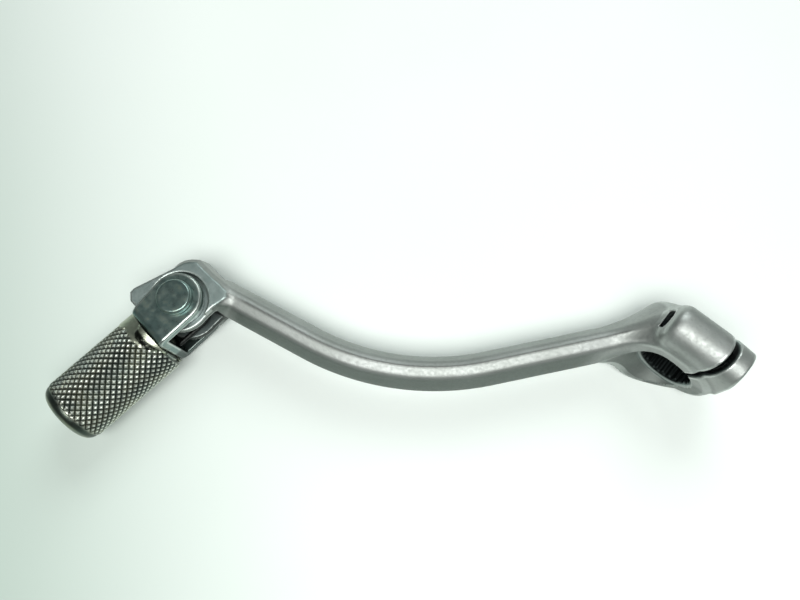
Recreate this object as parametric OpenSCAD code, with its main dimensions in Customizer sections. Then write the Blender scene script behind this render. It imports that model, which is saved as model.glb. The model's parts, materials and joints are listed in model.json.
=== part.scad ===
// Motorcycle gear shift lever with a folding, knurled toe peg.
// Millimetres. Origin: the splined bore's centre, half way along the clamp.
// +X runs forward along the lever, +Y outboard (the side the peg points to), +Z up,
// which is also the direction of the peg's pivot pin.

/* [Reach] */
// Forward distance from the shift shaft to the pivot pin
reach_x = 104.1; // [101:0.1:107]
// Outboard distance from the middle of the clamp to the pivot pin
reach_y = 71.6; // [69:0.1:74]
// Angle of the arm where it leaves the clamp, from straight forward
arm_angle = 51.5; // [50.5:0.05:52.5]
// Angle of the arm where it meets the head
head_angle = 11.3; // [10:0.1:12.5]
// Radius of the arm's long bend
bend_r = 67; // [65:0.5:69]

/* [Arm section] */
// Width of the arm
arm_w = 9.2; // [8.4:0.1:9.4]
// Height of the arm
arm_h = 12.6; // [11.5:0.1:13]
// Width the arm swells to where it enters the clamp
root_w = 12.8; // [12:0.1:13]
// Height the arm swells to where it enters the clamp
root_h = 19; // [16:0.5:20]

/* [Clamp] */
// Length of the clamp along the shaft
clamp_len = 13.4; // [13:0.2:14]
// Radius of the clamp's round boss
boss_r = 11.2; // [10.8:0.1:11.4]
// Radius over the tips of the bore's serrations
bore_tip_r = 6.3; // [6:0.1:6.4]
// Depth of one serration
spline_depth = 0.45; // [0.3:0.05:0.6]
// Number of serrations
spline_count = 24; // [18:1:30]
// Radius of the flat land around the bore's outboard mouth
land_r = 7.6; // [7.4:0.1:8]
// Height of the pinch bolt's axis above the shaft's axis
bolt_z = 11; // [10.8:0.1:11.6]
// Radius of the half-round lug over the pinch bolt
lug_r = 5.8; // [5.6:0.1:6.4]
// Rear face of the lug, where the bolt's head seats
lug_rear_x = 12.8; // [12.4:0.1:14]
// Front face of the lug
lug_front_x = 8; // [7:0.1:9]
// Width of the slit
slit_w = 1.6; // [1.2:0.1:2]
// Lean of the slit, rearward from upright
slit_lean = 22; // [18:0.5:26]
// Radius of the bolt's clearance hole in the rear lug
clear_hole_r = 3.3; // [3.1:0.1:3.4]
// Radius of the tapped hole in the front lug
tapped_r = 2.5; // [2.4:0.05:2.6]
// Radius of the spot face in front of the tapped hole
spot_r = 4.3; // [4:0.1:4.6]

/* [Head] */
// Thickness of the arm's head, between the bracket's ears
head_t = 14; // [13.6:0.1:14.2]
// Radius of the round end about the pivot pin
lobe_r = 7.6; // [7.2:0.1:7.8]
// Height of the slot that holds the spring
slot_h = 6.6; // [6.4:0.1:7]
// Radius of the round recess that seats each washer
recess_r = 7.5; // [7:0.1:7.8]
// Depth of that recess
recess_d = 1.6; // [1.4:0.1:1.8]
// Radius of the hole that the pivot sleeve is pressed into
sleeve_r = 4.5; // [4.3:0.1:4.6]

/* [Folding tip] */
// Splay of the peg, from straight outboard toward the front
peg_splay = 7.5; // [5:0.5:9]
// Fold shown here, rearward from straight out, in degrees
fold_now = 0; // [0:4:76]
// Gap between the bracket's ears
ear_gap = 14.5; // [14.5:0.1:14.8]
// Thickness of the bracket's sheet
sheet_t = 2.5; // [2.2:0.1:2.8]
// Radius of the ears' round ends
ear_r = 6.6; // [6:0.1:6.8]
// Distance from the pivot pin to the inside of the bracket's base
base_inner = 8.4; // [8.2:0.1:9]
// Forward edge of the bracket's base, from the pivot pin
base_front = 5.0; // [4.5:0.1:5.4]
// Rear edge of the bracket's base, from the pivot pin
base_rear = 6.9; // [6.4:0.1:7]
// Radius of the pivot pin's shank
pin_r = 3.0; // [2.8:0.1:3.2]
// Radial running clearance between pin and sleeve
pin_clear = 0.05; // [0.02:0.01:0.09]
// Radius of the pin's head
pin_head_r = 4.5; // [4.2:0.1:5]
// Thickness of the pin's head
pin_head_t = 1.8; // [1.2:0.1:2]

/* [Peg] */
// Radius over the knurl
peg_r = 8.9; // [8:0.1:9]
// Rearward offset of the peg's axis from the pivot pin
peg_offset = 1.2; // [0.5:0.1:1.5]
// Distance from the pivot pin to the peg's end
peg_end = 40.8; // [36:0.2:46]
// Radius of the rounding at the peg's end
peg_round = 3.4; // [2:0.1:4]
// Radius of the peg's spigot through the bracket's base
spigot_r = 4.0; // [3.5:0.1:4.5]

/* [Spring] */
// Radius of the spring's wire
wire_r = 0.65; // [0.5:0.05:0.7]
// Radius of the coil, to the middle of the wire
coil_r = 5.5; // [5.4:0.05:5.8]

/* [Hidden] */
$fn = 96;
eps = 0.05;
cast_col = [0.62, 0.63, 0.60];
plate_col = [0.50, 0.56, 0.55];
peg_col = [0.40, 0.42, 0.38];
steel_col = [0.70, 0.71, 0.72];

// The arm's centreline, from the clamp to the head: straight, one long arc, straight
head_run = 27.5;
root_run = 44;
turn = arm_angle - head_angle;
head_end = [reach_x - 4.4, reach_y - 8];
arc_end = head_end - head_run * [cos(head_angle), sin(head_angle)];
arc_mid = arc_end + bend_r * [sin(head_angle), -cos(head_angle)];
arc_start = arc_mid + bend_r * [-sin(arm_angle), cos(arm_angle)];
arc_steps = 22;
root_steps = 12;

// A point and heading on the centreline: [x, y, heading]
function on_root(s) = [arc_start[0] - (root_run - s) * cos(arm_angle),
                       arc_start[1] - (root_run - s) * sin(arm_angle), arm_angle];
function on_arc(t) = let(a = arm_angle - turn * t)
    [arc_mid[0] - bend_r * sin(a), arc_mid[1] + bend_r * cos(a), a];
root_path = [for (i = [0 : root_steps - 1]) on_root(root_run * i / root_steps)];
arc_path = [for (i = [0 : arc_steps]) on_arc(i / arc_steps)];
arm_path = concat(root_path, arc_path, [[head_end[0], head_end[1], head_angle]]);

// The arm swells over its first part, from root_fade back to the clamp
root_solid = 2;
root_fade = 20;
function smooth(t) = let(u = min(1, max(0, t))) u * u * (3 - 2 * u);
function swell(i) = let(s = i < root_steps ? root_run * i / root_steps : root_run)
    1 - smooth((s - root_solid) / (root_fade - root_solid));

// A drafted section: widest at mid height, with a low ridge along its top and bottom
ridge = 0.8;
draft = 2.2;
function section(w, h) = let(a = w / 2, b = h / 2) [
    [0, b], [a - draft, b - ridge], [a, 0], [a - draft, -b + ridge],
    [0, -b], [-a + draft, -b + ridge], [-a, 0], [-a + draft, b - ridge]];
section_n = 8;
function station(i) = let(p = arm_path[i], k = swell(i),
                          w = arm_w + (root_w - arm_w) * k, h = arm_h + (root_h - arm_h) * k)
    [for (q = section(w, h)) [p[0] + q[0] * sin(p[2]), p[1] - q[0] * cos(p[2]), q[1]]];

// Joins the sections of a sweep with quads and closes both ends
module skin(sections, n) {
    last = len(sections) - 1;
    points = [for (s = sections) each s];
    sides = [for (i = [0 : last - 1]) for (j = [0 : n - 1])
        [i * n + j, (i + 1) * n + j, (i + 1) * n + (j + 1) % n, i * n + (j + 1) % n]];
    caps = [[for (j = [0 : n - 1]) j], [for (j = [n - 1 : -1 : 0]) last * n + j]];
    polyhedron(points, concat(sides, caps), convexity = 6);
}

module arm_beam() {
    skin([for (i = [0 : len(arm_path) - 1]) station(i)], section_n);
}

// The frame of the folding tip: origin on the pivot pin, +Y along the peg
module at_tip(fold = 0) {
    translate([reach_x, reach_y, 0])
        rotate([0, 0, fold - peg_splay])
            children();
}

// A turned piece whose axis is the peg's
module along_peg(from) {
    translate([-peg_offset, from, 0])
        rotate([-90, 0, 0])
            children();
}

// ---- the arm's two ends ----

lug_len = lug_rear_x + lug_front_x;
lug_foot_z = 1;
slit_foot = [-4.2, 6.3];

// Below lean_top_z the boss's outboard side leans out toward the front, to meet the arm
lean_from_x = -6;
lean_slope = 0.45;
lean_top_z = 3;

module clamp_boss() {
    half = clamp_len / 2;
    far = 2 * boss_r;
    difference() {
        intersection() {
            rotate([90, 0, 0])
                cylinder(r = boss_r, h = 4 * boss_r, center = true);
            linear_extrude(3 * boss_r, center = true)
                polygon([[-far, -half], [far, -half], [far, half + lean_slope * (far - lean_from_x)],
                         [lean_from_x, half], [-far, half]]);
        }
        translate([-far, half, lean_top_z])
            cube([2 * far, far, far]);
    }
}

module clamp_solid() {
    clamp_boss();
    translate([-lug_rear_x, 0, bolt_z])
        rotate([0, 90, 0])
            cylinder(r = lug_r, h = lug_len);
    translate([-lug_rear_x, -lug_r, lug_foot_z])
        cube([lug_len, 2 * lug_r, bolt_z - lug_foot_z]);
}

// Takes the arm's flank back to the clamp's outboard face around the bore, as a steep cone
mouth_slope = 1.6;
mouth_deep = 12;

module mouth_face() {
    translate([0, clamp_len / 2, 0])
        rotate([-90, 0, 0])
            cylinder(r1 = land_r, r2 = land_r + mouth_deep / mouth_slope, h = mouth_deep);
}

module splined_bore() {
    long = clamp_len + 2;
    step = 360 / spline_count;
    half = step * 0.27;
    root = bore_tip_r + spline_depth;
    rotate([90, 0, 0]) {
        cylinder(r = bore_tip_r, h = long, center = true);
        for (i = [0 : spline_count - 1])
            rotate(i * step)
                linear_extrude(long, center = true)
                    polygon([[0, 0], bore_tip_r * 1.01 * [cos(half), sin(half)],
                             [root, 0.15], [root, -0.15],
                             bore_tip_r * 1.01 * [cos(half), -sin(half)]]);
    }
}

module slit() {
    translate([slit_foot[0], 0, slit_foot[1]])
        rotate([0, -slit_lean, 0])
            translate([-slit_w / 2, -clamp_len, -3])
                cube([slit_w, 2 * clamp_len, 20]);
}

module bolt_holes() {
    mid_x = slit_foot[0] - (bolt_z - slit_foot[1]) * tan(slit_lean);
    translate([mid_x, 0, bolt_z])
        rotate([0, -90, 0])
            cylinder(r = clear_hole_r, h = lug_len);
    translate([mid_x - 1, 0, bolt_z])
        rotate([0, 90, 0])
            cylinder(r = tapped_r, h = lug_len);
    translate([lug_front_x, 0, bolt_z])
        rotate([0, 90, 0])
            cylinder(r = spot_r, h = lug_len);
}

half_head = head_t / 2;
half_slot = slot_h / 2;
// The shoulder beside the bracket's base stops the tip from folding forward; the base's
// front edge leans out by 0.35 there
stop_gap = 0.45;
shoulder_x = base_front + stop_gap;
head_outer = base_inner - 0.3;

// Turns a point from the tip's frame to the head's
function from_tip(x, y) = [x * cos(peg_splay) + y * sin(peg_splay),
                           y * cos(peg_splay) - x * sin(peg_splay)];
function arc(r, from, to, step) = [for (a = [from : step : to]) r * [cos(a), sin(a)]];

// Plan of the head about the pivot pin: front edge, shoulder, round end, rear edge
head_plan = concat([[-8.4, -6.3], [-8.7, -8.6], [-7.6, -9.9], [3.3, -10.6], [5.0, -9.8], [6.1, -8.2],
                    [11.3, 5.0], [11.3, 6.4], [9.6, 8.1], from_tip(shoulder_x, head_outer + 1),
                    from_tip(shoulder_x, head_outer), from_tip(1.6, head_outer)],
                   arc(lobe_r, 76, 186, 5));

module head_solid() {
    translate([reach_x, reach_y, 0])
        linear_extrude(head_t, center = true)
            polygon(head_plan);
}

// Plan of the room for the spring, open to the rear and outboard
chamber_r = coil_r + wire_r + 0.6;
chamber_plan = concat([[3.4, 14], [-14, 14], [-14, -6.8], [-8.2, -5.6]], arc(chamber_r, 222, 419, 5.05));

module head_cuts() {
    translate([reach_x, reach_y, 0]) {
        cylinder(r = sleeve_r, h = head_t + 2, center = true);
        for (side = [-1, 1])
            translate([0, 0, side * (half_head - recess_d / 2 + eps)])
                cylinder(r = recess_r, h = recess_d + 2 * eps, center = true);
    }
    at_tip() {
        linear_extrude(slot_h, center = true)
            polygon(chamber_plan);
        translate([0, -coil_r - wire_r - 0.15, leg_z - wire_r - 0.15])
            cube([leg_len + 0.3, 2 * wire_r + 0.3, 2 * wire_r + 0.3]);
    }
}

module lever_arm() {
    color(cast_col)
        difference() {
            union() {
                clamp_solid();
                arm_beam();
                head_solid();
            }
            mouth_face();
            splined_bore();
            slit();
            bolt_holes();
            head_cuts();
        }
}

// ---- inside the head ----

module pivot_sleeve() {
    color(steel_col)
        translate([reach_x, reach_y, 0])
            difference() {
                cylinder(r = sleeve_r, h = ear_gap - 2 * eps, center = true);
                cylinder(r = pin_r + pin_clear, h = ear_gap + 2, center = true);
            }
}

washer_r = 6.2;
module thrust_washer(side) {
    floor_z = half_head - recess_d;
    top_z = ear_gap / 2 - eps;
    color(steel_col)
        translate([reach_x, reach_y, side * (floor_z + top_z) / 2])
            difference() {
                cylinder(r = washer_r, h = top_z - floor_z, center = true);
                cylinder(r = sleeve_r + eps, h = 5, center = true);
            }
}

module upper_washer() {
    thrust_washer(1);
}

module lower_washer() {
    thrust_washer(-1);
}

// Torsion spring: one leg sits in the head, the other pushes the bracket's base outboard
turns = 3.25;
leg_z = 2.25;
leg_len = 5;
wire_sides = 10;
coil_steps = 78;
leg2_len = base_inner - 0.05;
// Wire centre and heading at step i: the coil runs clockwise and downward
function coil_point(i) = let(a = 270 - 360 * turns * i / coil_steps)
    [coil_r * cos(a), coil_r * sin(a), leg_z * (1 - 2 * i / coil_steps), a - 90];
function ring(p) = [for (k = [0 : wire_sides - 1]) let(a = 360 * k / wire_sides)
    [p[0] - wire_r * cos(a) * sin(p[3]), p[1] + wire_r * cos(a) * cos(p[3]),
     p[2] + wire_r * sin(a)]];
spring_path = concat([[leg_len, -coil_r, leg_z, 180]],
                     [for (i = [0 : coil_steps]) coil_point(i)],
                     [[-coil_r, leg2_len, -leg_z, 90 - 360 * 3]]);

module return_spring() {
    color(steel_col)
        at_tip()
            skin([for (p = spring_path) ring(p)], wire_sides);
}

// ---- the folding tip ----

ear_out = ear_gap / 2 + sheet_t;
base_outer = base_inner + sheet_t;
bend_out_r = sheet_t - 0.1;

// Plan of one ear: its sides run from the round end to the base's two edges
side_r = ear_r - 0.15;
function side_foot(x, y, side) = let(d = norm([x, y]), a = atan2(y, x) + side * acos(side_r / d))
    side_r * [cos(a), sin(a)];

module ear_plan() {
    circle(r = ear_r);
    polygon([[base_front, base_outer], [-base_rear, base_outer],
             side_foot(-base_rear, base_outer, 1), [0, 0], side_foot(base_front, base_outer, -1)]);
}

// Side view of the folded sheet: both outer corners of the base are round
module u_side() {
    flat = ear_out - bend_out_r;
    difference() {
        translate([-ear_r - 1, -ear_out])
            square([base_outer + ear_r + 1, 2 * ear_out]);
        for (side = [-1, 1])
            translate([base_outer - bend_out_r, side > 0 ? flat : -flat - bend_out_r - 1])
                difference() {
                    square(bend_out_r + 1);
                    translate([0, side > 0 ? 0 : bend_out_r + 1])
                        circle(r = bend_out_r);
                }
    }
}

module tip_bracket() {
    wide = 40;
    color(plate_col)
        at_tip(fold_now)
            difference() {
                intersection() {
                    linear_extrude(2 * ear_out, center = true)
                        ear_plan();
                    rotate([90, 0, 90])
                        linear_extrude(wide, center = true)
                            u_side();
                }
                translate([-wide / 2, base_inner - wide, -ear_gap / 2])
                    cube([wide, wide, ear_gap]);
                cylinder(r = pin_r, h = wide, center = true);
                along_peg(0)
                    cylinder(r = spigot_r, h = wide);
            }
}

module toe_peg() {
    neck_r = peg_r - 1.7;
    knurl_from = base_outer + 0.6;
    bead_to = base_outer + 4.6;
    color(peg_col)
        at_tip(fold_now) {
            along_peg(0)
                rotate_extrude() {
                    translate([0, base_inner])
                        square([spigot_r, sheet_t + 1]);
                    translate([0, base_outer])
                        square([neck_r, 2]);
                    translate([0, knurl_from])
                        square([peg_r, peg_end - peg_round - knurl_from]);
                    translate([0, peg_end - peg_round - eps])
                        square([peg_r - peg_round, peg_round + eps]);
                    translate([peg_r - peg_round, peg_end - peg_round])
                        intersection() {
                            circle(r = peg_round);
                            square(peg_round);
                        }
                }
            // weld beads that close the joint above and below
            intersection() {
                along_peg(base_outer)
                    cylinder(r1 = peg_r + 0.35, r2 = peg_r - 0.2, h = bead_to - base_outer);
                for (side = [-1, 1])
                    translate([-peg_offset, base_outer + 5, side * (peg_r - 1)])
                        cube([11, 10, 6], center = true);
            }
        }
}

module pivot_pin() {
    tail_r = 4.1;
    tail_t = 1.2;
    color(plate_col)
        at_tip(fold_now) {
            translate([0, 0, -ear_out - tail_t / 2])
                cylinder(r = pin_r, h = 2 * ear_out + tail_t);
            translate([0, 0, ear_out])
                cylinder(r = pin_head_r, h = pin_head_t - 0.3);
            translate([0, 0, ear_out + pin_head_t - 0.3])
                cylinder(r1 = pin_head_r, r2 = pin_head_r - 0.3, h = 0.3);
            translate([0, 0, -ear_out - tail_t])
                cylinder(r1 = tail_r - 0.7, r2 = tail_r, h = tail_t);
        }
}

lever_arm();
pivot_sleeve();
upper_washer();
lower_washer();
return_spring();
tip_bracket();
toe_peg();
pivot_pin();
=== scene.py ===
"""Looks of the gear shift lever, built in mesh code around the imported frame.

Lengths in this script are millimetres in the row frame; each mesh is scaled to metres as it is made.
"""
import json
import math

import bpy
import numpy as np
from mathutils import Matrix, Vector


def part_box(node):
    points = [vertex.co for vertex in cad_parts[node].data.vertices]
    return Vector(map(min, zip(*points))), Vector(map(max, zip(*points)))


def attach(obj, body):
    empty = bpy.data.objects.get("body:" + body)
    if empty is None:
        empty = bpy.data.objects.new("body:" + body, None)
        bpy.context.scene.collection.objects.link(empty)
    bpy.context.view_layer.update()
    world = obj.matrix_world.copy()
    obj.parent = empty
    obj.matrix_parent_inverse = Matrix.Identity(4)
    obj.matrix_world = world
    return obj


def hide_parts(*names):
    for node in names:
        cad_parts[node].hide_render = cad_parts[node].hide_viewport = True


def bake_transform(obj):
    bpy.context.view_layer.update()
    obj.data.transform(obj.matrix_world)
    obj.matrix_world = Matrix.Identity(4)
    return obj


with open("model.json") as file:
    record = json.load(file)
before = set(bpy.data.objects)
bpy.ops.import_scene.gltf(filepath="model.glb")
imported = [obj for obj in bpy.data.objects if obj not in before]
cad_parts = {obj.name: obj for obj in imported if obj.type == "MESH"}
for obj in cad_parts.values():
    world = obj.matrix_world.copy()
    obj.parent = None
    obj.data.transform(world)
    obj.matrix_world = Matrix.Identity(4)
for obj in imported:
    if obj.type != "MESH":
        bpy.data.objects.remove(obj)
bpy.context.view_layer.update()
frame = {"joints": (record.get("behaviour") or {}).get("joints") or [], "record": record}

MM = 0.001


def box_mm(node):
    """The lowest and highest corners of a CAD node, in millimetres."""
    low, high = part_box(node)
    return np.array(low) / MM, np.array(high) / MM


# ---------------------------------------------------------------- sizes that come from the frame
HINGE = frame["joints"][0]
PIVOT_X, PIVOT_Y = HINGE["pos_m"][0] / MM, HINGE["pos_m"][1] / MM
MOUNTS = {m["name"]: m for m in frame["record"]["mounts"]}
BORE_R = MOUNTS["shaft_clamp"]["dims"]["r_mm"]
CLAMP_HALF = MOUNTS["shaft_clamp"]["dims"]["length_mm"] / 2
BOLT_Z = MOUNTS["pinch_bolt_clearance"]["pos_m"][2] / MM
CLEAR_R = MOUNTS["pinch_bolt_clearance"]["dims"]["r_mm"]
TAPPED_R = MOUNTS["pinch_bolt_thread"]["dims"]["r_mm"]
LUG_REAR_X = -MOUNTS["bolt_head_seat"]["pos_m"][0] / MM
BASE_BOX = box_mm("lever_arm")
EAR_OUT = box_mm("tip_bracket")[1][2]
PIN_TOP = box_mm("pivot_pin")[1][2]
PIN_FOOT = box_mm("pivot_pin")[0][2]
SLEEVE_HALF = box_mm("pivot_sleeve")[1][2]
SLEEVE_R = box_mm("pivot_sleeve")[1][0] - PIVOT_X
WASHER_R = box_mm("upper_washer")[1][0] - PIVOT_X
WASHER_LOW, WASHER_HIGH = box_mm("upper_washer")[0][2], box_mm("upper_washer")[1][2]
FLOOR_Z = BASE_BOX[0][2]

# ---------------------------------------------------------------- the part's own proportions
SPLAY = math.radians(7.5)
BOSS_R = -FLOOR_Z
LAND_R = 7.6
MOUTH_SLOPE = 1.6
LUG_R = 5.8
LUG_FRONT_X = 7.3
SLIT_FOOT = (-4.2, 6.3)
SLIT_LEAN = math.radians(22)
SLIT_HALF = 0.8
SPLINES = 24
SPLINE_DEPTH = 0.45

ARM_ANGLE = math.radians(51.5)
HEAD_ANGLE = math.radians(11.3)
BEND_R = 67.0
HEAD_RUN = 27.5
HEAD_END = np.array([PIVOT_X - 4.4, PIVOT_Y - 8.0])
ROOT_RUN = 44.0
ARM_W, ARM_H = 9.2, 12.6
CREST = -0.7
FLANK_DRAFT = 0.45
ROOT_W, ROOT_H = 12.6, 19.0

HEAD_HALF = 7.0
SLOT_HALF = 3.3
RECESS_R, RECESS_D = 7.5, 1.6
LOBE_R = 7.6
CHAMBER_R = 6.75

SHEET = EAR_OUT - 7.25
EAR_IN = EAR_OUT - SHEET
EAR_R = 6.6
BASE_IN = 8.4
BASE_OUT = BASE_IN + SHEET
BASE_FRONT, BASE_REAR = 5.0, 6.9
FOLD_R = 2.4
PIN_R = 3.0

PEG_R = 8.9
PEG_OFFSET = 1.2
PEG_END = 40.6
KNURL_FROM, KNURL_TO = BASE_OUT + 0.7, 38.0
KNURL_STARTS = 30
GROOVE_DEPTH = 0.36
GROOVE_FLAT = 0.34
END_RIM_R = PEG_R - 0.3
END_ROUND = 2.5
NECK_R = 7.2
SPIGOT_R = 4.0

WIRE_R = 0.65
COIL_R = 5.5
COIL_TURNS = 3.25
LEG_Z = 2.25


# ---------------------------------------------------------------- small maths helpers
def smooth(t):
    t = np.clip(t, 0.0, 1.0)
    return t * t * (3 - 2 * t)


def blend_min(a, b, k):
    """The lower of a and b, with a fillet about k wide where they cross."""
    h = np.clip(0.5 + 0.5 * (b - a) / k, 0.0, 1.0)
    return b + (a - b) * h - k * h * (1 - h)


def blend_max(a, b, k):
    return -blend_min(-a, -b, k)


def cut(body, tool, k=0.2):
    """body with tool taken away; k is the width of the broken edge."""
    return blend_max(body, -tool, k)


def polygon_distance(x, y, corners):
    """Signed distance in the plane to a closed polygon, negative inside."""
    best = np.full(np.broadcast(x, y).shape, 1e9)
    sign = np.ones_like(best)
    ends = corners[-1:] + corners[:-1]
    for (ax, ay), (bx, by) in zip(corners, ends):
        ex, ey = bx - ax, by - ay
        wx, wy = x - ax, y - ay
        t = np.clip((wx * ex + wy * ey) / (ex * ex + ey * ey), 0.0, 1.0)
        best = np.minimum(best, (wx - ex * t) ** 2 + (wy - ey * t) ** 2)
        above, below, left = y >= ay, y < by, ex * wy > ey * wx
        flip = (above & below & left) | (~above & ~below & ~left)
        sign = np.where(flip, -sign, sign)
    return sign * np.sqrt(best)


def arc(radius, start, end, count):
    """Points along a circle about the origin, by angle in degrees."""
    return [(radius * math.cos(math.radians(a)), radius * math.sin(math.radians(a)))
            for a in np.linspace(start, end, count)]


def to_tip(x, y):
    """Row-frame x, y to the folding tip's own plane: a across the peg, b along it."""
    dx, dy = x - PIVOT_X, y - PIVOT_Y
    return (dx * math.cos(SPLAY) - dy * math.sin(SPLAY),
            dx * math.sin(SPLAY) + dy * math.cos(SPLAY))


def from_tip(points):
    """Rows of (a, b, z) in the folding tip's frame to row-frame points."""
    p = np.asarray(points, float)
    x = PIVOT_X + p[:, 0] * math.cos(SPLAY) + p[:, 1] * math.sin(SPLAY)
    y = PIVOT_Y - p[:, 0] * math.sin(SPLAY) + p[:, 1] * math.cos(SPLAY)
    return np.stack([x, y, p[:, 2]], 1)


# ---------------------------------------------------------------- meshes from a distance field
CORNERS = [(i, j, k) for i in (0, 1) for j in (0, 1) for k in (0, 1)]
EDGES = [(a, b) for a in CORNERS for b in CORNERS
         if sum(b) - sum(a) == 1 and all(q >= p for p, q in zip(a, b))]


def sample(field, low, high, step):
    """field on a grid over the box, a few planes at a time."""
    axes = [np.arange(low[i] - 2 * step, high[i] + 3 * step, step) for i in range(3)]
    y, z = axes[1][None, :, None], axes[2][None, None, :]
    slabs = [field(axes[0][i:i + 12][:, None, None], y, z) for i in range(0, len(axes[0]), 12)]
    return np.concatenate([np.asarray(s, np.float32) for s in slabs]), np.array([a[0] for a in axes])


def surface_net(values, origin, step):
    """One point in each cell that the surface crosses, and a quad round each crossed grid edge."""
    inside = values < 0
    counts = np.zeros([n - 1 for n in values.shape], np.uint8)
    for c in CORNERS:
        counts += inside[tuple(slice(o, o + n) for o, n in zip(c, counts.shape))]
    cells = np.argwhere((counts > 0) & (counts < 8))
    index = np.full(counts.shape, -1, np.int32)
    index[tuple(cells.T)] = np.arange(len(cells))
    total, hits = np.zeros((len(cells), 3)), np.zeros(len(cells))
    for a, b in EDGES:
        fa, fb = values[tuple((cells + a).T)], values[tuple((cells + b).T)]
        crossed = (fa < 0) != (fb < 0)
        t = np.where(crossed, fa / np.where(crossed, fa - fb, 1), 0)
        total += crossed[:, None] * (np.array(a) + t[:, None] * (np.array(b) - np.array(a)))
        hits += crossed
    points = origin + step * (cells + total / hits[:, None])
    quads = []
    for axis in range(3):
        u, v = (axis + 1) % 3, (axis + 2) % 3
        first = [slice(None)] * 3
        second = [slice(None)] * 3
        first[axis], second[axis] = slice(None, -1), slice(1, None)
        here = inside[tuple(first)]
        edge = np.argwhere(here != inside[tuple(second)])
        edge = edge[(edge[:, u] > 0) & (edge[:, v] > 0)]
        ring = []
        for du, dv in ((-1, -1), (0, -1), (0, 0), (-1, 0)):
            cell = edge.copy()
            cell[:, u] += du
            cell[:, v] += dv
            ring.append(index[tuple(cell.T)])
        ring = np.stack(ring, 1)
        outward = here[tuple(edge.T)]
        ring[~outward] = ring[~outward][:, ::-1]
        quads.append(ring)
    return points, np.concatenate(quads)


def gradient(field, p, reach=0.04):
    steps = np.eye(3) * reach
    return np.stack([(field(*(p + s).T) - field(*(p - s).T)) / (2 * reach) for s in steps], 1)


def settle(field, points, step, rounds=3):
    """Moves each point down the field's slope onto the surface, and gives the slope there."""
    start = points.copy()
    for _ in range(rounds):
        g = gradient(field, points)
        move = field(*points.T)[:, None] * g / np.maximum((g * g).sum(1), 0.2)[:, None]
        points = points - np.clip(move, -step, step)
        points = start + np.clip(points - start, -0.75 * step, 0.75 * step)
    return points, gradient(field, points)


def mesh_piece(name, points, faces, sharp=None):
    """A mesh object in metres from millimetre points; sharp is the angle above which an edge stays hard."""
    mesh = bpy.data.meshes.new(name)
    mesh.from_pydata((np.asarray(points) * MM).tolist(), [], [list(map(int, f)) for f in faces])
    mesh.validate()
    mesh.shade_smooth()
    if sharp is not None:
        mesh.set_sharp_from_angle(angle=math.radians(sharp))
    piece = bpy.data.objects.new(name, mesh)
    bpy.context.scene.collection.objects.link(piece)
    return piece


def net_piece(name, field, low, high, step, marks=None):
    """A piece meshed from a distance field, with any marks written as vertex attributes."""
    values, origin = sample(field, low, high, step)
    points, quads = surface_net(values, origin, step)
    points, slope = settle(field, points, step)
    normals = slope / np.maximum(np.linalg.norm(slope, axis=1), 1e-6)[:, None]
    piece = mesh_piece(name, points, quads)
    write_marks(piece, edge_marks(field, points, normals))
    if marks is not None:
        write_marks(piece, marks(points, normals))
    return piece


def edge_marks(field, points, normals, reach=0.7):
    """Where the surface is a convex edge, and where it is concave, each from 0 to 1; the edge mark feeds
    bright edges that are partly a painted highlight, and the concave mark feeds painted shade.
    """
    inner = field(*(points - reach * normals).T) + reach
    outer = field(*(points + reach * normals).T) - reach
    return {"edge": np.clip(inner / 0.22, 0, 1), "hollow": np.clip(-outer / 0.3, 0, 1)}


def write_marks(piece, marks):
    for name, values in marks.items():
        attribute = piece.data.attributes.new(name, "FLOAT", "POINT")
        attribute.data.foreach_set("value", np.asarray(values, np.float32))


# ---------------------------------------------------------------- the forged lever
HEAD_DIR = np.array([math.cos(HEAD_ANGLE), math.sin(HEAD_ANGLE)])
ARM_DIR = np.array([math.cos(ARM_ANGLE), math.sin(ARM_ANGLE)])
ARC_END = HEAD_END - HEAD_RUN * HEAD_DIR
ARC_MID = ARC_END + BEND_R * np.array([HEAD_DIR[1], -HEAD_DIR[0]])
ARC_START = ARC_MID + BEND_R * np.array([-ARM_DIR[1], ARM_DIR[0]])


def along_arm(x, y):
    """Distance along the arm's centreline, 0 where its bend starts, and offset to its outboard side."""
    cx, cy = x - ARC_MID[0], y - ARC_MID[1]
    heading = np.arctan2(-cx, cy)
    on_arc = BEND_R * (ARM_ANGLE - heading), np.hypot(cx, cy) - BEND_R
    rx, ry = x - ARC_START[0], y - ARC_START[1]
    on_root = rx * ARM_DIR[0] + ry * ARM_DIR[1], ry * ARM_DIR[0] - rx * ARM_DIR[1]
    hx, hy = x - ARC_END[0], y - ARC_END[1]
    arc_len = BEND_R * (ARM_ANGLE - HEAD_ANGLE)
    on_head = (arc_len + hx * HEAD_DIR[0] + hy * HEAD_DIR[1], hy * HEAD_DIR[0] - hx * HEAD_DIR[1])
    root, head = heading > ARM_ANGLE, heading < HEAD_ANGLE
    return [np.where(root, r, np.where(head, h, a)) for r, h, a in zip(on_root, on_head, on_arc)]


def arm_field(x, y, z):
    s, v = along_arm(x, y)
    arc_len = BEND_R * (ARM_ANGLE - HEAD_ANGLE)
    swell = 1 - smooth((s + ROOT_RUN) / 15)
    half_w = ARM_W / 2 + (ROOT_W - ARM_W) / 2 * swell
    half_h = ARM_H / 2 + (ROOT_H - ARM_H) / 2 * swell
    tall = np.abs(z)
    crest = np.sqrt((v - CREST) ** 2 + 0.09)
    top = (tall + 0.26 * crest - half_h) * 0.968
    side = (np.abs(v) + FLANK_DRAFT * tall - half_w - 0.1) * 0.912
    side = blend_max(side, np.abs(v) - half_w, 1.0)
    body = blend_max(top, side, 0.9)
    flash = 0.14 * np.exp(-((v - CREST) / 0.3) ** 2) * smooth((tall - 4.6) / 0.8) * smooth((s + 37) / 4)
    ends = np.maximum(-(s + ROOT_RUN), s - arc_len - HEAD_RUN)
    return blend_max(body - flash, ends, 1.5)


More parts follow.
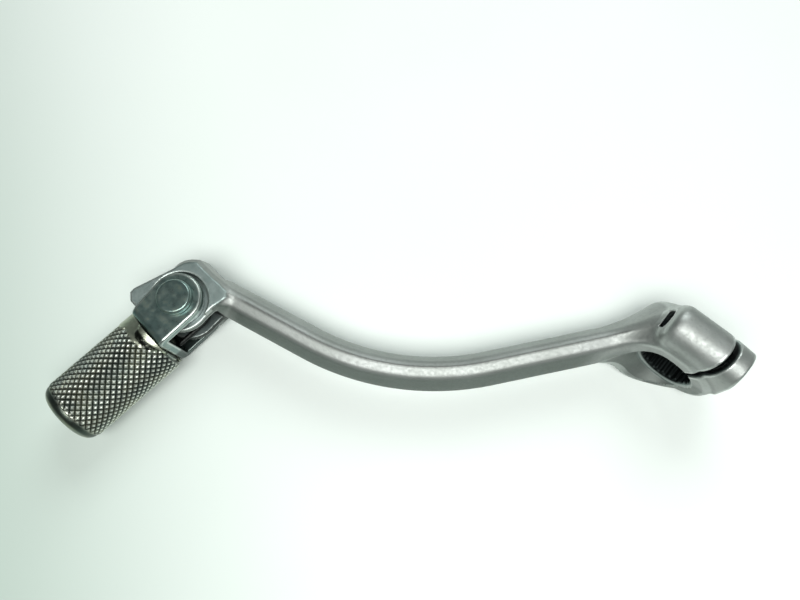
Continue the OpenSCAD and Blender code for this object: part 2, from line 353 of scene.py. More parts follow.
HEAD_TOP = [(-7.9, -4.5), (-8.4, -6.3), (-8.7, -8.3), (-7.4, -9.2), (-4.1, -9.6), (0.8, -9.9), (3.5, -10.2),
            (4.9, -9.2), (5.9, -8.0), (11.3, 5.0), (11.3, 6.4), (9.6, 8.0)]


def head_corners():
    """The head's machined outline about the pivot: inboard side, front edge, shoulder, round end."""
    shoulder = from_tip([(BASE_FRONT + 0.45, BASE_IN + 0.7, 0), (BASE_FRONT + 0.45, BASE_IN - 0.3, 0),
                         (1.6, BASE_IN - 0.3, 0)])
    corners = HEAD_TOP + [(p[0] - PIVOT_X, p[1] - PIVOT_Y) for p in shoulder]
    return corners + arc(LOBE_R, 76, 186, 23)


HEAD_PLAN = head_corners()
CHAMBER_PLAN = [(3.4, 14.0), (-14.0, 14.0), (-14.0, -6.8), (-8.2, -5.6)] + arc(CHAMBER_R, 222, 419, 28)


def head_field(x, y, z):
    """The head before machining: its inboard side keeps the forging's draft."""
    px, py = x - PIVOT_X, y - PIVOT_Y
    forged = smooth((-3.5 - py) / 4)
    bulge = forged * (0.17 * (HEAD_HALF - np.abs(z)) + 0.9 * smooth((HEAD_HALF - np.abs(z)) / 1.5))
    plan = polygon_distance(px, py, HEAD_PLAN) - bulge
    return blend_max(plan, np.abs(z) - HEAD_HALF - 0.6, 0.8)


def head_cuts(x, y, z):
    px, py = x - PIVOT_X, y - PIVOT_Y
    r = np.hypot(px, py)
    tall = np.abs(z)
    lobe_side = smooth(((py * 0.755 - px * 0.656) / np.maximum(r, 1e-6) - 0.45) / 0.12)
    recess = np.maximum(r - RECESS_R - 1.5 * lobe_side, HEAD_HALF - RECESS_D - tall)
    a, b = to_tip(x, y)
    chamber = np.maximum(polygon_distance(a, b, CHAMBER_PLAN), tall - SLOT_HALF)
    bore = r - SLEEVE_R
    pocket = np.maximum(np.maximum(np.abs(b + COIL_R) - WIRE_R - 0.1, np.abs(a - 2.5) - 2.8),
                        np.abs(z - LEG_Z) - WIRE_R - 0.1)
    return np.minimum(np.minimum(recess, chamber), np.minimum(bore, pocket))


def clamp_field(x, y, z):
    boss = np.hypot(x, z) - BOSS_R
    boss = blend_max(boss, -y - CLAMP_HALF, 4.0)
    lean = 0.45 * np.maximum(x + 6, 0) * smooth((3 - z) / 8)
    boss = blend_max(boss, (y - CLAMP_HALF - lean) * 0.9, 1.2)
    taper = 0.5 * smooth((-x - 5) / 9)
    round_top = np.hypot(y, np.maximum(z - BOLT_Z, 0)) - LUG_R + taper
    lug = blend_max(round_top, -x - LUG_REAR_X, 0.7)
    lug = blend_max(lug, x - LUG_FRONT_X, 3.4)
    lug = blend_max(lug, 1.0 - z, 2.0)
    return blend_min(boss, lug, 1.8)


def across_slit(x, z):
    """Distance from the middle of the leaning slit, positive towards the front."""
    return (x - SLIT_FOOT[0]) * math.cos(SLIT_LEAN) + (z - SLIT_FOOT[1]) * math.sin(SLIT_LEAN)


def clamp_cuts(x, y, z):
    radius = np.hypot(x, z)
    tooth = np.cos(np.arctan2(z, x) * SPLINES)
    bore = radius - BORE_R - SPLINE_DEPTH * smooth(0.5 + 1.6 * tooth)
    lead_in = (radius - BORE_R - 1.0 + np.maximum(CLAMP_HALF - np.abs(y), 0)) * 0.7
    mouth = (CLAMP_HALF + MOUTH_SLOPE * np.maximum(radius - LAND_R, 0) - y) / 1.6
    lean_x = across_slit(x, z)
    slit = np.maximum(np.abs(lean_x) - SLIT_HALF, 3.0 - z)
    bolt_r = np.hypot(y, z - BOLT_Z)
    clearance = np.maximum(bolt_r - CLEAR_R, lean_x)
    tapped = np.maximum(bolt_r - TAPPED_R, -lean_x)
    tapped = np.maximum(tapped, x - LUG_FRONT_X - 0.8)
    cuts = np.minimum(np.minimum(bore, lead_in), np.minimum(slit, clearance))
    return np.minimum(cuts, np.minimum(tapped, mouth))


def lever_body(x, y, z):
    front = blend_min(arm_field(x, y, z), head_field(x, y, z), 1.6)
    front = blend_max(front, np.abs(z) - HEAD_HALF - 6 * smooth((70 - x) / 20), 0.25)
    body = blend_min(front, clamp_field(x, y, z), 4.5)
    faces = np.maximum(BASE_BOX[0][1] + 0.02 - y, FLOOR_Z + 0.02 - z)
    return blend_max(body, faces, 0.3)


def lever_field(x, y, z):
    body = lever_body(x, y, z)
    body = cut(body, np.where(x < 50, clamp_cuts(x, y, z), 99.0), 0.25)
    return cut(body, np.where(x > 80, head_cuts(x, y, z), 99.0), 0.2)


def lever_marks(points, normals):
    """Machined faces, the parting line, the flanks and other faces to be painted darker as shade, and how far
    inside an opening a point lies, which sets the painted shade in there.
    """
    x, y, z = points.T
    under = -lever_body(x, y, z)
    machined = smooth((under - 0.05) / 0.25)
    head_face = smooth((np.abs(z) - HEAD_HALF + 0.3) / 0.2) * smooth((x - 84) / 2)
    seat_face = smooth((-x - LUG_REAR_X + 0.35) / 0.2)
    s, v = along_arm(x, y)
    line = np.exp(-((v - CREST) / 0.3) ** 2) * smooth((np.abs(normals[:, 2]) - 0.6) / 0.3)
    line *= smooth((94 - x) / 4) * smooth((s + 37) / 4)
    # painted shade: steep flanks of the arm and the head's rear faces are marked to be painted darker, the
    # inboard flank less so
    steep = smooth((0.80 - np.abs(normals[:, 2])) / 0.35) * smooth((x - 12) / 6)
    side = steep * np.maximum(smooth((94 - x) / 4), smooth((-normals[:, 0] - 0.3) / 0.3))
    side *= 1 - 0.7 * smooth((0.55 * normals[:, 0] - 0.83 * normals[:, 1] - 0.1) / 0.3)
    bolt_r = np.hypot(y, z - BOLT_Z)
    radius = np.hypot(x, z)
    slit = np.where(z > 5, np.abs(across_slit(x, z)) - SLIT_HALF, 9.0)
    opening = np.minimum(np.minimum(radius - BORE_R - SPLINE_DEPTH, slit), bolt_r - CLEAR_R)
    # the flared mouth is kept out of the machined faces and, with the clamp's outboard faces and the head's
    # lower jaw, joins the painted shade
    cone = machined * smooth((y - CLAMP_HALF - 0.1) / 0.5) * (x < 50) * (radius > LAND_R)
    machined *= 1 - cone
    outboard = smooth((normals[:, 1] - 0.35) / 0.4) * smooth((5 - z) / 3) * smooth((16 - x) / 4)
    jaw = smooth((-z - 2.2) / 0.8) * smooth((x - 92) / 4)
    side = np.maximum(side, np.maximum(np.maximum(0.8 * cone, 0.75 * outboard), jaw))
    # painted shade: marks the inside of the bore, slit and bolt holes, the head's slot and the rear faces of
    # its lower jaw, to be painted almost black
    clamp_shade = smooth((0.4 - opening) / 0.25) * smooth((under - 0.2) / 0.9)
    slot_shade = smooth((SLOT_HALF + 0.2 - np.abs(z)) / 0.4) * smooth((under - 0.02) / 0.15)
    slot_shade = np.maximum(slot_shade, 0.85 * jaw * smooth((-normals[:, 0] - 0.2) / 0.3))
    slot_shade *= 1 - 0.5 * (np.abs(z) > SLOT_HALF + 1.5)
    deep = np.where(x < 50, clamp_shade, slot_shade)
    machined = np.maximum(machined, np.maximum(head_face, seat_face))
    return {"machined": machined, "flash": line, "deep": deep, "side": side}


def make_lever():
    step = 0.3
    low, high = BASE_BOX
    return net_piece("forged_lever", lever_field, low, high, step, lever_marks)


# ---------------------------------------------------------------- the folding tip's bracket
def bracket_corners():
    """Plan of one ear about the pivot, running into the base's two edges."""
    def tangent(a, b, side):
        """The angle at which a line from (a, b) touches the round end."""
        return math.degrees(math.atan2(b, a)) + side * math.degrees(math.acos(EAR_R / math.hypot(a, b)))

    front = tangent(BASE_FRONT, BASE_OUT, -1)
    rear = tangent(-BASE_REAR, BASE_OUT, 1)
    return [(-BASE_REAR, BASE_OUT), (BASE_FRONT, BASE_OUT)] + arc(EAR_R, front, rear - 360, 40)


EAR_PLAN = bracket_corners()


def bracket_field(x, y, z):
    a, b = to_tip(x, y)
    tall = np.abs(z)
    plan = polygon_distance(a, b, EAR_PLAN)
    outer = np.hypot(np.maximum(b - BASE_OUT + FOLD_R, 0), np.maximum(tall - EAR_OUT + FOLD_R, 0)) - FOLD_R
    outer = np.maximum(outer, np.maximum(b - BASE_OUT, tall - EAR_OUT))
    inner = blend_max(b - BASE_IN, tall - EAR_IN, 0.5)
    body = blend_max(plan, outer, 0.7)
    body = cut(body, inner, 0.35)
    holes = np.hypot(x - PIVOT_X, y - PIVOT_Y) - PIN_R
    return cut(body, holes, 0.2)


def bracket_marks(points, normals):
    """The lower ear, the inside faces and the base's rear faces, which are painted darker as shade."""
    x, y, z = points.T
    along = to_tip(x, y)[1]
    inside = smooth((-z * normals[:, 2] - 2) / 2) * smooth((EAR_IN + 0.2 - np.abs(z)) / 0.2)
    base = smooth((-normals[:, 1] - 0.3) / 0.4) * smooth((along - 4) / 2)
    return {"lower": np.maximum(smooth((-z - 1.5) / 2), np.maximum(inside, base))}


def make_bracket():
    low, high = box_mm("tip_bracket")
    return net_piece("folded_bracket", bracket_field, low, high, 0.2, bracket_marks)


# ---------------------------------------------------------------- the knurled toe peg
def turned(name, profile, around, sharp=40, place=None):
    """A closed piece turned from (radius, height) pairs; place takes its points to the row frame."""
    count = len(profile)
    turn = np.linspace(0, 2 * math.pi, around, endpoint=False)
    rings = [np.stack([r * np.cos(turn), r * np.sin(turn), np.full(around, h)], 1) for r, h in profile]
    points = np.concatenate(rings)
    faces = []
    for i in range(count - 1):
        for j in range(around):
            k = (j + 1) % around
            faces.append((i * around + j, i * around + k, (i + 1) * around + k, (i + 1) * around + j))
    if profile[0][0] > 1e-6:
        faces.append(tuple(range(around - 1, -1, -1)))
        faces.append(tuple((count - 1) * around + j for j in range(around)))
    if place is not None:
        points = place(points)
    return mesh_piece(name, points, faces, sharp)


def rounded(profile, radius, steps=5):
    """The profile with each inner corner replaced by a small curve."""
    out = [profile[0]]
    for before, here, after in zip(profile, profile[1:], profile[2:]):
        p, q, r = (np.array(v, float) for v in (before, here, after))
        to_p, to_r = p - q, r - q
        near_p = min(radius, 0.45 * np.linalg.norm(to_p))
        near_r = min(radius, 0.45 * np.linalg.norm(to_r))
        a = q + to_p / np.linalg.norm(to_p) * near_p
        c = q + to_r / np.linalg.norm(to_r) * near_r
        for t in np.linspace(0, 1, steps):
            out.append(tuple((1 - t) ** 2 * a + 2 * t * (1 - t) * q + t * t * c))
    out.append(profile[-1])
    return out


def groove(u):
    """Depth of one family of V grooves: 0 on the flats, 1 at the bottom."""
    away = np.abs(u - np.round(u)) * 2
    return np.clip((away - GROOVE_FLAT) / (1 - GROOVE_FLAT), 0, 1)


def make_peg():
    """A knurled barrel: its mesh lines follow both families of grooves, so each diamond is a true pyramid."""
    per_start = 8
    around = KNURL_STARTS * per_start
    step = 2 * math.pi * PEG_R / around
    turn = np.arange(around) * 2 * math.pi / around
    rows = int((KNURL_TO - KNURL_FROM) / step)
    stations = [(SPIGOT_R, BASE_IN - 0.02), (SPIGOT_R, BASE_OUT), (NECK_R, BASE_OUT),
                (NECK_R + 0.1, KNURL_FROM - 0.25), (PEG_R - 0.6, KNURL_FROM - 0.2)]
    first = len(stations)
    stations += [(PEG_R, KNURL_FROM + i * step) for i in range(rows)]
    last = len(stations)
    shoulder = stations[-1][1]
    stations += [(END_RIM_R, shoulder + 0.22), (END_RIM_R - 0.02, shoulder + 0.45)]
    for t in np.linspace(0, math.pi / 2, 14):
        stations.append((END_RIM_R - END_ROUND * (1 - math.cos(t)), PEG_END - END_ROUND * (1 - math.sin(t))))
    stations += [(r, PEG_END) for r in (5.0, 3.5, 2.0, 0.8)]
    radius = np.array([[r] * around for r, h in stations])
    height = np.array([[h] * around for r, h in stations])
    cuts = np.zeros_like(radius)
    i, j = np.meshgrid(np.arange(rows), np.arange(around), indexing="ij")
    depth = np.maximum(groove((j + i) / per_start), groove((j - i) / per_start))
    fade = smooth((rows - 0.5 - i) / 5)
    cuts[first:last] = depth
    radius[first:last] = PEG_R - GROOVE_DEPTH * depth * fade - 0.06 * (1 - fade)
    radius, cuts, weld, steep = add_weld(radius, height, cuts, turn[None, :])
    x = radius * np.cos(turn) - PEG_OFFSET
    z = radius * np.sin(turn)
    points = np.stack([x.ravel(), height.ravel(), z.ravel()], 1)
    faces = []
    count = len(stations)
    for r in range(count - 1):
        for c in range(around):
            d = (c + 1) % around
            p, q, s, t = r * around + c, r * around + d, (r + 1) * around + d, (r + 1) * around + c
            if (r - first + c) % 2 == 0:
                faces += [(p, s, q), (p, t, s)]
            else:
                faces += [(p, t, q), (q, t, s)]
    faces.append(tuple(range(around)))
    faces.append(tuple((count - 1) * around + c for c in range(around - 1, -1, -1)))
    piece = mesh_piece("knurled_peg", from_tip(points), faces, sharp=24)
    knurl = np.zeros_like(radius)
    knurl[first:last] = fade
    ring = smooth((height - shoulder - 0.1) / 0.4) * smooth((PEG_END - 0.9 - height) / 0.6)
    marks = {"groove": cuts, "weld": weld, "knurl": knurl * (1 - weld), "steep": steep, "ring": ring}
    write_marks(piece, {name: values.ravel() for name, values in marks.items()})
    return piece


def add_weld(radius, height, cuts, turn):
    """Weld over and under the joint: a bead at the rear that rolls off, and a dressed flat in front."""
    weld, steep = np.zeros_like(radius), np.zeros_like(radius)
    barrel = radius > NECK_R - 0.1
    for side in (1, -1):
        across = radius * np.cos(turn)
        facing = side * np.sin(turn)
        lump = 0.22 * np.sin(across * 1.1 + side) + 0.12 * np.sin(across * 2.7)
        flat_end = BASE_OUT + 4.0 + lump + 0.8 * smooth((across - 4) / 3)
        flat = smooth((flat_end - height) / 0.5) * smooth((facing - 0.35) / 0.2) * smooth((across + 4) / 3)
        flat = flat * barrel
        radius = radius + flat * (PEG_R - 0.12 + 0.3 * smooth((across - 3) / 4) - radius)
        rear = np.clip(1 - (np.minimum(across + 1.4, 0) / 4.4) ** 2, 0, 1)
        bead_end = BASE_OUT + 0.4 + 4.2 * np.sqrt(rear) - 1.0 * smooth((across + 1) / 3) + 0.5 * lump
        over = (height - BASE_OUT + 0.4) / (bead_end - BASE_OUT + 0.4)
        roll = np.sqrt(np.clip(1 - over ** 2, 0, 1))
        taper = smooth((facing - 0.45) / 0.3) * smooth((3.6 - across) / 2.5)
        bead = NECK_R + (PEG_R + 0.5 - NECK_R) * roll * taper
        covered = barrel & (over < 1) & (bead > radius - 0.3)
        share = smooth((bead - radius) / 0.2 + 0.3) * (taper > 0.1) * covered
        radius = np.where(covered, blend_max(radius, bead, 0.15), radius)
        weld = np.maximum(weld, np.maximum(share, flat))
        steep = np.maximum(steep, share * smooth((over - 0.28) / 0.12))
    return radius, cuts * (1 - weld), weld, steep


# ---------------------------------------------------------------- turned pieces and the spring
def at_pivot(points):
    return points + np.array([PIVOT_X, PIVOT_Y, 0.0])


def make_pin():
    """Headed above, a plain shank, and a peened foot below."""
    head_r, foot_r = 4.5, 4.1
    outline = [(0.02, PIN_FOOT + 0.12), (foot_r - 1.4, PIN_FOOT + 0.02), (foot_r - 0.5, PIN_FOOT + 0.25),
               (foot_r, -EAR_OUT - 0.05), (PIN_R, -EAR_OUT), (PIN_R, EAR_OUT), (head_r - 0.25, EAR_OUT),
               (head_r, EAR_OUT + 0.3), (head_r, PIN_TOP - 0.5), (head_r - 0.45, PIN_TOP - 0.02),
               (head_r - 1.2, PIN_TOP), (0.02, PIN_TOP)]
    return turned("pivot_pin_head_and_shank", rounded(outline, 0.22), 128, 35, at_pivot)


def make_sleeve():
    inner = PIN_R + 0.05
    loop = [(inner, -SLEEVE_HALF), (SLEEVE_R, -SLEEVE_HALF), (SLEEVE_R, SLEEVE_HALF), (inner, SLEEVE_HALF)]
    return ring_piece("sleeve", loop, 0.2)


def make_washer(name, low, high):
    inner = SLEEVE_R + 0.05
    loop = [(inner, low), (WASHER_R, low), (WASHER_R, high), (inner, high)]
    return ring_piece(name, loop, 0.3)


def ring_piece(name, loop, chamfer, around=96):
    """A ring turned from a closed loop of (radius, height), its corners chamfered."""
    soft = []
    for before, here, after in zip(loop[-1:] + loop[:-1], loop, loop[1:] + loop[:1]):
        for other in (before, after):
            d = np.array(other, float) - here
            soft.append(tuple(np.array(here) + d / np.linalg.norm(d) * chamfer))
    turn = np.linspace(0, 2 * math.pi, around, endpoint=False)
    points = at_pivot(np.concatenate([np.stack([r * np.cos(turn), r * np.sin(turn), np.full(around, h)], 1)
                                      for r, h in soft]))
    count = len(soft)
    faces = [(i * around + j, i * around + (j + 1) % around,
              (i + 1) % count * around + (j + 1) % around, (i + 1) % count * around + j)
             for i in range(count) for j in range(around)]
    return mesh_piece(name, points, faces, sharp=30)


def make_spring():
    """Torsion spring: one leg in the head's pocket, the other behind the bracket's base."""
    steps = 240
    path = [(5.0 - t, -COIL_R, LEG_Z) for t in np.linspace(0, 4.6, 8)]
    for i in range(steps + 1):
        turn = math.radians(270) - 2 * math.pi * COIL_TURNS * i / steps
        path.append((COIL_R * math.cos(turn), COIL_R * math.sin(turn), LEG_Z * (1 - 2 * i / steps)))
    path += [(-COIL_R, b, -LEG_Z) for b in np.linspace(0.5, BASE_IN - 0.25, 16)]
    path = np.array(path)
    heading = np.gradient(path, axis=0)
    heading /= np.linalg.norm(heading, axis=1)[:, None]
    side = np.cross(heading, (0, 0, 1))
    side /= np.linalg.norm(side, axis=1)[:, None]
    up = np.cross(side, heading)
    sides = 20
    angle = np.linspace(0, 2 * math.pi, sides, endpoint=False)
    scale = np.ones(len(path))
    scale[0] = scale[-1] = 0.75
    tube = (path[:, None] + WIRE_R * scale[:, None, None] *
            (np.cos(angle)[None, :, None] * side[:, None] + np.sin(angle)[None, :, None] * up[:, None]))
    faces = [(i * sides + j, i * sides + (j + 1) % sides,
              (i + 1) * sides + (j + 1) % sides, (i + 1) * sides + j)
             for i in range(len(path) - 1) for j in range(sides)]
    faces.append(tuple(range(sides - 1, -1, -1)))
    faces.append(tuple((len(path) - 1) * sides + j for j in range(sides)))
    return mesh_piece("torsion_spring", from_tip(tube.reshape(-1, 3)), faces, sharp=50)


# ---------------------------------------------------------------- materials
class Nodes:
    """A short way to write a material's nodes."""

    def __init__(self, name):
        self.material = bpy.data.materials.new(name)
        self.material.use_nodes = True
        self.tree = self.material.node_tree
        self.shader = self.tree.nodes["Principled BSDF"]
        self.place = self.add("ShaderNodeTexCoord").outputs["Object"]

    def add(self, kind, **settings):
        node = self.tree.nodes.new(kind)
        for key, value in settings.items():
            setattr(node, key, value)
        return node

    def feed(self, socket, value):
        if isinstance(value, bpy.types.NodeSocket):
            self.tree.links.new(value, socket)
        else:
            socket.default_value = value

    def noise(self, per_mm, detail=4.0, rough=0.55, stretch=(1, 1, 1)):
        """Fractal noise with about per_mm features a millimetre, from 0 to 1."""
        mapping = self.add("ShaderNodeMapping")
        mapping.inputs["Scale"].default_value = tuple(v * per_mm / MM for v in stretch)
        self.feed(mapping.inputs["Vector"], self.place)
        node = self.add("ShaderNodeTexNoise")
        node.inputs["Scale"].default_value = 1.0
        node.inputs["Detail"].default_value = detail
        node.inputs["Roughness"].default_value = rough
        self.feed(node.inputs["Vector"], mapping.outputs[0])
        return node.outputs["Fac"]

    def mark(self, name):
        return self.add("ShaderNodeAttribute", attribute_name=name).outputs["Fac"]

    def math(self, operation, a, b=0.0, c=0.0):
        node = self.add("ShaderNodeMath", operation=operation)
        for socket, value in zip(node.inputs, (a, b, c)):
            self.feed(socket, value)
        return node.outputs[0]

    def ramp(self, value, low, high, out_low=0.0, out_high=1.0):
        node = self.add("ShaderNodeMapRange", interpolation_type="SMOOTHSTEP")
        for key, v in (("Value", value), ("From Min", low), ("From Max", high),
                       ("To Min", out_low), ("To Max", out_high)):
            self.feed(node.inputs[key], v)
        return node.outputs["Result"]

    def mix(self, share, a, b):
        node = self.add("ShaderNodeMix", data_type="RGBA")
        self.feed(node.inputs["Factor"], share)
        self.feed(node.inputs[6], a)
        self.feed(node.inputs[7], b)
        return node.outputs[2]

    def bump(self, height, depth_mm, under=None, strength=1.0):
        node = self.add("ShaderNodeBump")
        node.inputs["Strength"].default_value = strength
        node.inputs["Distance"].default_value = depth_mm * MM
        self.feed(node.inputs["Height"], height)
        if under is not None:
            self.feed(node.inputs["Normal"], under)
        return node.outputs["Normal"]

    def done(self, colour, metallic, roughness, normal):
        for key, value in (("Base Color", colour), ("Metallic", metallic), ("Roughness", roughness),
                           ("Normal", normal)):
            self.feed(self.shader.inputs[key], value)
        return self.material


def forged_material():
    """Tumbled aluminium forging: fine grain, faint stains, bright edges that are partly wear and partly a
    painted highlight, painted shade on the flanks, in concave places and inside openings, cleaner machined
    faces.
    """
    n = Nodes("forged_aluminium")
    machined, edge, hollow, flash, deep, side = (
        n.mark(k) for k in ("machined", "edge", "hollow", "flash", "deep", "side"))
    cloud, blotch = n.noise(0.06, 3), n.noise(0.35, 5)
    grain, pits = n.noise(3.2, 2, 0.7), n.noise(1.3, 3, 0.6)
    skin = n.mix(n.ramp(cloud, 0.35, 0.65), (0.33, 0.35, 0.335, 1), (0.39, 0.41, 0.40, 1))
    skin = n.mix(n.ramp(blotch, 0.55, 0.75, 0, 0.35), skin, (0.27, 0.285, 0.265, 1))
    cut_face = n.mix(n.ramp(blotch, 0.3, 0.7), (0.25, 0.31, 0.30, 1), (0.32, 0.38, 0.37, 1))
    # painted shade: the flank mark darkens the skin colour
    skin = n.mix(n.math("MULTIPLY", side, 0.85), skin, (0.14, 0.165, 0.15, 1))
    colour = n.mix(machined, skin, cut_face)
    colour = n.mix(n.math("MULTIPLY", n.ramp(pits, 0.60, 0.72), 0.22), colour, (0.22, 0.225, 0.21, 1))
    # bright edges: partly real wear and partly a painted highlight, kept off where the opening shade is
    # painted
    wear_and_highlight = n.math("MULTIPLY", n.ramp(edge, 0.5, 1.0), n.ramp(grain, 0.2, 0.6, 0.6, 1.0))
    wear_and_highlight = n.math("MULTIPLY", wear_and_highlight, n.math("SUBTRACT", 1.0, n.math("MULTIPLY", deep, 0.9)))
    colour = n.mix(n.math("MULTIPLY", wear_and_highlight, 0.42), colour, (0.80, 0.85, 0.82, 1))
    # painted shade: concave places are darkened
    colour = n.mix(n.math("MULTIPLY", hollow, 0.5), colour, (0.13, 0.14, 0.13, 1))
    colour = n.mix(n.math("MULTIPLY", flash, 0.8), colour, (0.08, 0.085, 0.08, 1))
    # painted shade: the colour goes almost black inside openings
    colour = n.mix(n.math("MULTIPLY", deep, 0.97), colour, (0.004, 0.006, 0.006, 1))
    rough = n.ramp(pits, 0.3, 0.7, 0.47, 0.58)
    rough = n.math("SUBTRACT", rough, n.math("MULTIPLY", machined, 0.04))
    rough = n.math("SUBTRACT", rough, n.math("MULTIPLY", wear_and_highlight, 0.12))
    shallow = n.bump(pits, 0.035)
    normal = n.bump(grain, 0.02, shallow)
    return n.done(colour, 0.94, rough, normal)


def plate_material():
    """Satin zinc plate: dark blue-green, softly mottled, with yellowed patches, bright edges that are partly
    wear and partly a painted highlight, and painted shade in concave places and on the lower ear.
    """
    n = Nodes("zinc_plate")
    edge, hollow, lower = n.mark("edge"), n.mark("hollow"), n.mark("lower")
    cloud, mottle, grain = n.noise(0.25, 3), n.noise(0.6, 3), n.noise(5.0, 2)
    colour = n.mix(n.ramp(cloud, 0.35, 0.65), (0.17, 0.25, 0.24, 1), (0.25, 0.33, 0.31, 1))
    colour = n.mix(n.ramp(mottle, 0.5, 0.72, 0, 0.35), colour, (0.32, 0.34, 0.25, 1))
    # bright edges: partly real wear and partly a painted highlight
    colour = n.mix(n.math("MULTIPLY", n.ramp(edge, 0.5, 1.0), 0.5), colour, (0.80, 0.85, 0.81, 1))
    # painted shade: concave places are darkened
    colour = n.mix(n.math("MULTIPLY", hollow, 0.6), colour, (0.06, 0.07, 0.06, 1))
    # painted shade: the lower ear, the inside faces and the base's rear faces go almost black
    colour = n.mix(n.math("MULTIPLY", lower, 0.85), colour, (0.03, 0.045, 0.042, 1))
    rough = n.ramp(mottle, 0.3, 0.7, 0.27, 0.36)
    normal = n.bump(grain, 0.008, n.bump(mottle, 0.04))
    return n.done(colour, 0.95, rough, normal)


def peg_material():
    """Bright plate over the knurl: painted shade in the grooves, polished tips, smooth yellowish weld and
    end, with painted dark reflections in stripes on the weld's roll-off.
    """
    n = Nodes("peg_plate")
    groove_depth, weld, knurl, steep, ring = (n.mark(k) for k in ("groove", "weld", "knurl", "steep", "ring"))
    cloud, mottle, grain = n.noise(0.2, 3), n.noise(1.2, 4), n.noise(6.0, 2)
    colour = n.mix(n.ramp(cloud, 0.35, 0.65), (0.22, 0.25, 0.23, 1), (0.34, 0.35, 0.28, 1))
    # painted shade: the grooves of the knurl go almost black
    colour = n.mix(n.math("MULTIPLY", n.ramp(groove_depth, 0.35, 0.9), 0.92), colour, (0.02, 0.024, 0.02, 1))
    colour = n.mix(n.math("MULTIPLY", n.ramp(groove_depth, 0.32, 0.05), knurl), colour, (0.80, 0.83, 0.76, 1))
    colour = n.mix(n.math("MULTIPLY", weld, 0.8), colour, (0.50, 0.53, 0.42, 1))
    # painted reflection: dark stripes on the steep roll-off of the weld bead stand in for the dark
    # surroundings it mirrors
    dark_reflection_streak = n.math("MULTIPLY", steep, n.ramp(n.noise(0.7, 2), 0.66, 0.54))
    colour = n.mix(n.math("MULTIPLY", dark_reflection_streak, 0.95), colour, (0.012, 0.014, 0.012, 1))
    colour = n.mix(n.math("MULTIPLY", ring, 0.85), colour, (0.03, 0.045, 0.038, 1))
    rough = n.ramp(mottle, 0.3, 0.7, 0.28, 0.40)
    rough = n.math("SUBTRACT", rough, n.math("MULTIPLY", steep, 0.12))
    rough = n.math("ADD", rough, n.math("MULTIPLY", groove_depth, 0.15))
    normal = n.bump(grain, 0.01, n.bump(mottle, 0.04))
    return n.done(colour, 1.0, rough, normal)


def steel_material(name, dark, light, rough_low, rough_high, stretch):
    """Turned or drawn steel: fine lines one way, faint stains."""
    n = Nodes(name)
    lines, cloud = n.noise(2.2, 3, 0.6, stretch), n.noise(0.5, 3)
    colour = n.mix(n.ramp(lines, 0.3, 0.7), dark, light)
    colour = n.mix(n.ramp(cloud, 0.5, 0.75, 0, 0.4), colour, tuple(v * 0.6 for v in dark[:3]) + (1,))
    rough = n.ramp(lines, 0.3, 0.7, rough_low, rough_high)
    return n.done(colour, 1.0, rough, n.bump(lines, 0.02))


def floor_material():
    """A pale matt sheet, with painted shade that makes it darker towards the end of the peg."""
    n = Nodes("pale_floor")
    cloud = n.noise(0.008, 3)
    colour = n.mix(n.ramp(cloud, 0.3, 0.7), (0.86, 0.915, 0.885, 1), (0.89, 0.94, 0.915, 1))
    apart = n.add("ShaderNodeSeparateXYZ")
    n.feed(apart.inputs[0], n.place)
    # painted shade: a ramp across the floor darkens it towards the end of the peg
    away = n.math("ADD", n.math("MULTIPLY", apart.outputs["X"], 0.5), apart.outputs["Y"])
    colour = n.mix(n.ramp(away, 0.08, 0.24), colour, (0.44, 0.54, 0.48, 1))
    return n.done(colour, 0.0, 0.55, n.bump(n.noise(0.5, 3), 0.02))


def dress(piece, material, slot, body, *nodes):
    """Gives a new piece its material and its body, and hides the CAD nodes it stands for. The slot argument
    is not used.
    """
    piece.data.materials.append(material)
    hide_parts(*nodes)
    if body:
        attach(piece, body)


forged, plate, chrome = forged_material(), plate_material(), peg_material()
bright = steel_material("bright_steel", (0.50, 0.51, 0.51, 1), (0.66, 0.67, 0.67, 1),
                        0.22, 0.36, (0.3, 0.3, 3))
drawn = steel_material("spring_steel", (0.012, 0.014, 0.014, 1), (0.04, 0.042, 0.04, 1),
                       0.42, 0.52, (1, 1, 1))

dress(make_lever(), forged, "forged_aluminium", "lever", "lever_arm")
dress(make_bracket(), plate, "zinc_plate", "tip", "tip_bracket")
dress(make_peg(), chrome, "peg_plate", "tip", "toe_peg")
dress(make_pin(), plate, "zinc_plate", "tip", "pivot_pin")
dress(make_sleeve(), bright, "bright_steel", "lever", "pivot_sleeve")
dress(make_washer("washer_above", WASHER_LOW, WASHER_HIGH), bright, "bright_steel", "lever", "upper_washer")
dress(make_washer("washer_below", -WASHER_HIGH, -WASHER_LOW), bright, "bright_steel", "lever", "lower_washer")
spring = make_spring()
dress(spring, drawn, "spring_steel", None, "return_spring")
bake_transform(spring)

# ---------------------------------------------------------------- floor, lights and camera
FAR = 3000.0
floor_corners = [(x * FAR, y * FAR, FLOOR_Z - 0.02) for x, y in ((-1, -1), (1, -1), (1, 1), (-1, 1))]
floor = mesh_piece("floor", floor_corners, [(0, 1, 2, 3)])
floor.data.materials.append(floor_material())

CENTRE = Vector((0.055, 0.045, 0.0))


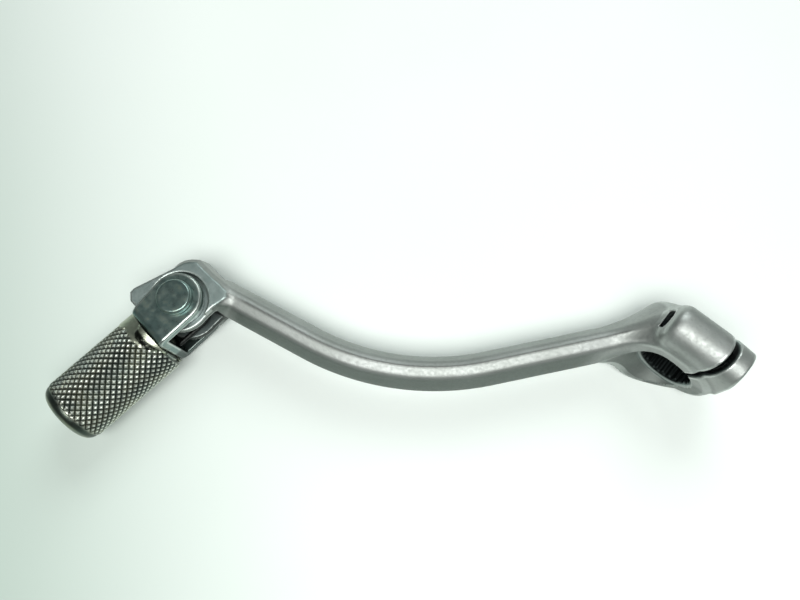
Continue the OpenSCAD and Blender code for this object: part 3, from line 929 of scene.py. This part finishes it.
def area_light(name, towards, distance, size, power, colour=(1, 1, 1), along=(0, 1, 0)):
    """A soft rectangular light that faces the object from the given direction; along is its long way."""
    light = bpy.data.lights.new(name, "AREA")
    light.shape = "RECTANGLE"
    light.size, light.size_y = size
    light.energy = power
    light.color = colour
    holder = bpy.data.objects.new(name, light)
    back = Vector(towards).normalized()
    across = Vector(along) - back * Vector(along).dot(back)
    across.normalize()
    turn = Matrix((across, back.cross(across), back)).transposed()
    holder.matrix_world = Matrix.Translation(CENTRE + back * distance) @ turn.to_4x4()
    bpy.context.scene.collection.objects.link(holder)


area_light("key", (-0.22, 0.24, 0.93), 0.6, (0.46, 0.26), 3.6, (0.99, 1.0, 0.975), (0.80, 0.57, 0.0))
area_light("fill", (0.26, -0.68, 0.68), 0.9, (0.5, 0.5), 3.2, (0.94, 1.0, 0.98))

world = bpy.data.worlds.new("room")
world.use_nodes = True
sky = world.node_tree
look = sky.nodes.new("ShaderNodeTexCoord")
parts = sky.nodes.new("ShaderNodeSeparateXYZ")
fade = sky.nodes.new("ShaderNodeMapRange")
for key, value in (("From Min", 0.05), ("From Max", 0.75), ("To Min", 0.30), ("To Max", 0.10)):
    fade.inputs[key].default_value = value
sky.links.new(look.outputs["Generated"], parts.inputs[0])
sky.links.new(parts.outputs["Z"], fade.inputs["Value"])
sky.links.new(fade.outputs["Result"], sky.nodes["Background"].inputs["Strength"])
sky.nodes["Background"].inputs["Color"].default_value = (0.80, 0.90, 0.86, 1)
bpy.context.scene.world = world
bpy.context.scene.view_settings.view_transform = "Standard"

CAMERA_AT = Vector((0.02318, 0.06678, 0.18735))
CAMERA_RIGHT = Vector((-0.7651, -0.6420, -0.0500))
CAMERA_UP = Vector((0.6117, -0.7488, 0.2550))
CAMERA_BACK = Vector((-0.2012, 0.1645, 0.9656))
camera = bpy.data.objects.new("camera", bpy.data.cameras.new("camera"))
camera.data.sensor_width = 36
camera.data.lens = 33.75
camera.data.clip_start = 0.01
turn = Matrix((CAMERA_RIGHT, CAMERA_UP, CAMERA_BACK)).transposed()
camera.matrix_world = Matrix.Translation(CAMERA_AT) @ turn.to_4x4()
bpy.context.scene.collection.objects.link(camera)
bpy.context.scene.camera = camera
